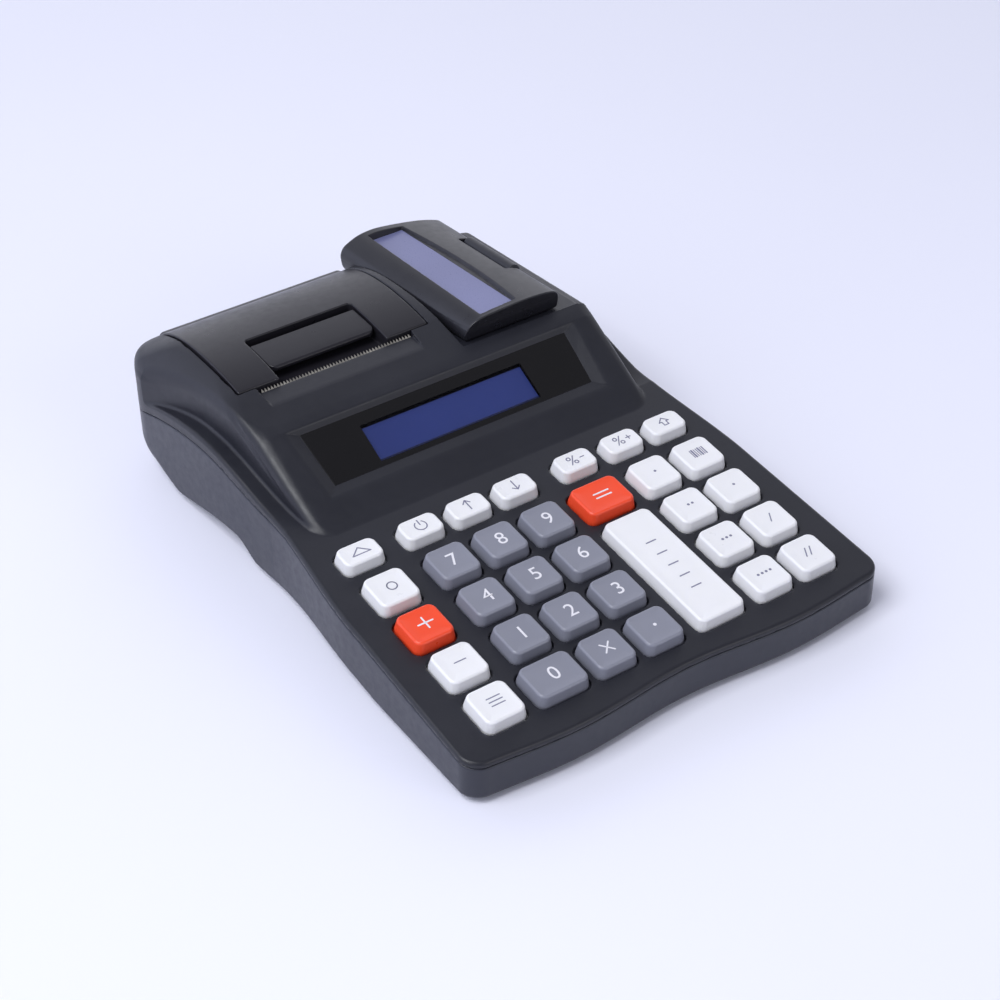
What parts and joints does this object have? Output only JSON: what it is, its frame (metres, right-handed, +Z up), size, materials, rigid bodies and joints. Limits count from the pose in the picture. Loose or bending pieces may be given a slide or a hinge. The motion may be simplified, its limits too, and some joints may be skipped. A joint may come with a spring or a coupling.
{
  "type": "ticket register",
  "caption": "Desktop ticket register with a sloping keyboard, operator display, receipt printer under a hinged cover and a flip-up customer display.",
  "frame": {"origin": "on the table, under the middle of the case's outline", "axes": "+X to the operator's right, +Y to the rear, +Z up"},
  "size_m": [0.1662, 0.2313, 0.061],
  "materials": {
    "upper_shell": "fine moulded texture, satin",
    "lower_shell": "fine moulded texture, satin",
    "cover_shell": "satin moulding",
    "dark_window": "clear gloss, smoked",
    "clear_window": "gloss",
    "blue_screen": "backlit liquid crystal",
    "circuit_board": "green laminate",
    "silicone_mat": "soft silicone",
    "steel_pin": "bright",
    "tear_blade": "plated, toothed",
    "platen_rubber": "ground rubber",
    "gear_white": "acetal",
    "frame_grey": "glass-filled",
    "head_metal": "heat spreader",
    "motor_metal": "zinc plated can",
    "pinion_brass": "turned",
    "paper": "smooth thermal paper",
    "feet_rubber": "matt",
    "socket_black": "matt",
    "key_white": "satin keycap",
    "key_grey": "satin keycap",
    "key_orange": "satin keycap"
  },
  "bodies": {
    "register": {"lower_case": "lower_shell", "upper_case": "upper_shell", "display_window": "dark_window", "main_lcd": "blue_screen", "main_board": "circuit_board", "key_mat": "silicone_mat", "cover_hinge_pin": "steel_pin", "tear_bar": "tear_blade", "printer_frame": "frame_grey", "print_head": "head_metal", "feed_motor": "motor_metal", "rubber_feet": "feet_rubber", "case_screws": "steel_pin", "dc_jack": "socket_black", "data_sockets": "socket_black"},
    "cover": {"printer_cover": "cover_shell"},
    "lever": {"release_lever": "cover_shell"},
    "platen": {"platen_roller": "platen_rubber", "platen_gear": "gear_white"},
    "idler": {"idler_gear": "gear_white"},
    "pinion": {"motor_pinion": "pinion_brass"},
    "roll": {"paper_roll": "paper"},
    "customer_display": {"customer_display_front": "upper_shell", "customer_display_back": "lower_shell", "customer_display_window": "clear_window", "customer_lcd": "blue_screen", "display_hinge_pin": "steel_pin"},
    "key_feed": {"key_feed": "key_white"},
    "key_power": {"key_power": "key_white"},
    "key_up": {"key_up": "key_white"},
    "key_down": {"key_down": "key_white"},
    "key_percent_minus": {"key_percent_minus": "key_white"},
    "key_percent_plus": {"key_percent_plus": "key_white"},
    "key_shift": {"key_shift": "key_white"},
    "key_clear": {"key_clear": "key_white"},
    "key_7": {"key_7": "key_grey"},
    "key_8": {"key_8": "key_grey"},
    "key_9": {"key_9": "key_grey"},
    "key_subtotal": {"key_subtotal": "key_orange"},
    "key_dept_1": {"key_dept_1": "key_white"},
    "key_barcode": {"key_barcode": "key_white"},
    "key_price": {"key_price": "key_orange"},
    "key_4": {"key_4": "key_grey"},
    "key_5": {"key_5": "key_grey"},
    "key_6": {"key_6": "key_grey"},
    "key_total": {"key_total": "key_white"},
    "key_dept_2": {"key_dept_2": "key_white"},
    "key_decimal": {"key_decimal": "key_white"},
    "key_void": {"key_void": "key_white"},
    "key_1": {"key_1": "key_grey"},
    "key_2": {"key_2": "key_grey"},
    "key_3": {"key_3": "key_grey"},
    "key_dept_3": {"key_dept_3": "key_white"},
    "key_pay_1": {"key_pay_1": "key_white"},
    "key_lookup": {"key_lookup": "key_white"},
    "key_0": {"key_0": "key_grey"},
    "key_multiply": {"key_multiply": "key_grey"},
    "key_point": {"key_point": "key_grey"},
    "key_dept_4": {"key_dept_4": "key_white"},
    "key_pay_2": {"key_pay_2": "key_white"}
  },
  "joints": [
    {"name": "cover_hinge", "type": "hinge", "parent": "register", "child": "cover", "pos_m": [-0.0265, 0.11, 0.0448], "axis": [-1, 0, 0], "range_deg": [0, 95]},
    {"name": "lever_pivot", "type": "hinge", "parent": "cover", "child": "lever", "pos_m": [-0.027, 0.0715, 0.0532], "axis": [-1, 0, 0], "range_deg": [0, 18], "stiffness_Nm_per_rad": 0.02, "springref_deg": -5.73},
    {"name": "platen_spin", "type": "hinge", "parent": "cover", "child": "platen", "pos_m": [-0.0265, 0.0575, 0.0435], "axis": [1, 0, 0], "continuous": true},
    {"name": "idler_spin", "type": "hinge", "parent": "register", "child": "idler", "pos_m": [-0.0609, 0.04939, 0.03607], "axis": [1, 0, 0], "continuous": true},
    {"name": "pinion_spin", "type": "hinge", "parent": "register", "child": "pinion", "pos_m": [-0.045, 0.04939, 0.02707], "axis": [1, 0, 0], "continuous": true},
    {"name": "roll_spin", "type": "hinge", "parent": "register", "child": "roll", "pos_m": [-0.0265, 0.086, 0.0263], "axis": [1, 0, 0], "continuous": true},
    {"name": "customer_display_hinge", "type": "hinge", "parent": "register", "child": "customer_display", "pos_m": [0.0574, 0.078, 0.0529], "axis": [0, 0.9976, -0.0698], "range_deg": [0, 100]},
    {"name": "key_feed_press", "type": "slide", "parent": "register", "child": "key_feed", "axis": [0, 0.1149, -0.9934], "range_m": [0, 0.0025], "stiffness_N_per_m": 300, "springref_m": -0.0005},
    {"name": "key_power_press", "type": "slide", "parent": "register", "child": "key_power", "axis": [0, 0.1149, -0.9934], "range_m": [0, 0.0025], "stiffness_N_per_m": 300, "springref_m": -0.0005},
    {"name": "key_up_press", "type": "slide", "parent": "register", "child": "key_up", "axis": [0, 0.1149, -0.9934], "range_m": [0, 0.0025], "stiffness_N_per_m": 300, "springref_m": -0.0005},
    {"name": "key_down_press", "type": "slide", "parent": "register", "child": "key_down", "axis": [0, 0.1149, -0.9934], "range_m": [0, 0.0025], "stiffness_N_per_m": 300, "springref_m": -0.0005},
    {"name": "key_percent_minus_press", "type": "slide", "parent": "register", "child": "key_percent_minus", "axis": [0, 0.1149, -0.9934], "range_m": [0, 0.0025], "stiffness_N_per_m": 300, "springref_m": -0.0005},
    {"name": "key_percent_plus_press", "type": "slide", "parent": "register", "child": "key_percent_plus", "axis": [0, 0.1149, -0.9934], "range_m": [0, 0.0025], "stiffness_N_per_m": 300, "springref_m": -0.0005},
    {"name": "key_shift_press", "type": "slide", "parent": "register", "child": "key_shift", "axis": [0, 0.1149, -0.9934], "range_m": [0, 0.0025], "stiffness_N_per_m": 300, "springref_m": -0.0005},
    {"name": "key_clear_press", "type": "slide", "parent": "register", "child": "key_clear", "axis": [0, 0.1149, -0.9934], "range_m": [0, 0.0025], "stiffness_N_per_m": 300, "springref_m": -0.0005},
    {"name": "key_7_press", "type": "slide", "parent": "register", "child": "key_7", "axis": [0, 0.1149, -0.9934], "range_m": [0, 0.0025], "stiffness_N_per_m": 300, "springref_m": -0.0005},
    {"name": "key_8_press", "type": "slide", "parent": "register", "child": "key_8", "axis": [0, 0.1149, -0.9934], "range_m": [0, 0.0025], "stiffness_N_per_m": 300, "springref_m": -0.0005},
    {"name": "key_9_press", "type": "slide", "parent": "register", "child": "key_9", "axis": [0, 0.1149, -0.9934], "range_m": [0, 0.0025], "stiffness_N_per_m": 300, "springref_m": -0.0005},
    {"name": "key_subtotal_press", "type": "slide", "parent": "register", "child": "key_subtotal", "axis": [0, 0.1149, -0.9934], "range_m": [0, 0.0025], "stiffness_N_per_m": 300, "springref_m": -0.0005},
    {"name": "key_dept_1_press", "type": "slide", "parent": "register", "child": "key_dept_1", "axis": [0, 0.1149, -0.9934], "range_m": [0, 0.0025], "stiffness_N_per_m": 300, "springref_m": -0.0005},
    {"name": "key_barcode_press", "type": "slide", "parent": "register", "child": "key_barcode", "axis": [0, 0.1149, -0.9934], "range_m": [0, 0.0025], "stiffness_N_per_m": 300, "springref_m": -0.0005},
    {"name": "key_price_press", "type": "slide", "parent": "register", "child": "key_price", "axis": [0, 0.1149, -0.9934], "range_m": [0, 0.0025], "stiffness_N_per_m": 300, "springref_m": -0.0005},
    {"name": "key_4_press", "type": "slide", "parent": "register", "child": "key_4", "axis": [0, 0.1149, -0.9934], "range_m": [0, 0.0025], "stiffness_N_per_m": 300, "springref_m": -0.0005},
    {"name": "key_5_press", "type": "slide", "parent": "register", "child": "key_5", "axis": [0, 0.1149, -0.9934], "range_m": [0, 0.0025], "stiffness_N_per_m": 300, "springref_m": -0.0005},
    {"name": "key_6_press", "type": "slide", "parent": "register", "child": "key_6", "axis": [0, 0.1149, -0.9934], "range_m": [0, 0.0025], "stiffness_N_per_m": 300, "springref_m": -0.0005},
    {"name": "key_total_press", "type": "slide", "parent": "register", "child": "key_total", "axis": [0, 0.1149, -0.9934], "range_m": [0, 0.0025], "stiffness_N_per_m": 300, "springref_m": -0.0005},
    {"name": "key_dept_2_press", "type": "slide", "parent": "register", "child": "key_dept_2", "axis": [0, 0.1149, -0.9934], "range_m": [0, 0.0025], "stiffness_N_per_m": 300, "springref_m": -0.0005},
    {"name": "key_decimal_press", "type": "slide", "parent": "register", "child": "key_decimal", "axis": [0, 0.1149, -0.9934], "range_m": [0, 0.0025], "stiffness_N_per_m": 300, "springref_m": -0.0005},
    {"name": "key_void_press", "type": "slide", "parent": "register", "child": "key_void", "axis": [0, 0.1149, -0.9934], "range_m": [0, 0.0025], "stiffness_N_per_m": 300, "springref_m": -0.0005},
    {"name": "key_1_press", "type": "slide", "parent": "register", "child": "key_1", "axis": [0, 0.1149, -0.9934], "range_m": [0, 0.0025], "stiffness_N_per_m": 300, "springref_m": -0.0005},
    {"name": "key_2_press", "type": "slide", "parent": "register", "child": "key_2", "axis": [0, 0.1149, -0.9934], "range_m": [0, 0.0025], "stiffness_N_per_m": 300, "springref_m": -0.0005},
    {"name": "key_3_press", "type": "slide", "parent": "register", "child": "key_3", "axis": [0, 0.1149, -0.9934], "range_m": [0, 0.0025], "stiffness_N_per_m": 300, "springref_m": -0.0005},
    {"name": "key_dept_3_press", "type": "slide", "parent": "register", "child": "key_dept_3", "axis": [0, 0.1149, -0.9934], "range_m": [0, 0.0025], "stiffness_N_per_m": 300, "springref_m": -0.0005},
    {"name": "key_pay_1_press", "type": "slide", "parent": "register", "child": "key_pay_1", "axis": [0, 0.1149, -0.9934], "range_m": [0, 0.0025], "stiffness_N_per_m": 300, "springref_m": -0.0005},
    {"name": "key_lookup_press", "type": "slide", "parent": "register", "child": "key_lookup", "axis": [0, 0.1149, -0.9934], "range_m": [0, 0.0025], "stiffness_N_per_m": 300, "springref_m": -0.0005},
    {"name": "key_0_press", "type": "slide", "parent": "register", "child": "key_0", "axis": [0, 0.1149, -0.9934], "range_m": [0, 0.0025], "stiffness_N_per_m": 300, "springref_m": -0.0005},
    {"name": "key_multiply_press", "type": "slide", "parent": "register", "child": "key_multiply", "axis": [0, 0.1149, -0.9934], "range_m": [0, 0.0025], "stiffness_N_per_m": 300, "springref_m": -0.0005},
    {"name": "key_point_press", "type": "slide", "parent": "register", "child": "key_point", "axis": [0, 0.1149, -0.9934], "range_m": [0, 0.0025], "stiffness_N_per_m": 300, "springref_m": -0.0005},
    {"name": "key_dept_4_press", "type": "slide", "parent": "register", "child": "key_dept_4", "axis": [0, 0.1149, -0.9934], "range_m": [0, 0.0025], "stiffness_N_per_m": 300, "springref_m": -0.0005},
    {"name": "key_pay_2_press", "type": "slide", "parent": "register", "child": "key_pay_2", "axis": [0, 0.1149, -0.9934], "range_m": [0, 0.0025], "stiffness_N_per_m": 300, "springref_m": -0.0005}
  ],
  "couplings": [
    {"joint": "idler_spin", "follows": "platen_spin", "ratio": -0.69231},
    {"joint": "pinion_spin", "follows": "platen_spin", "ratio": 1.8}
  ]
}
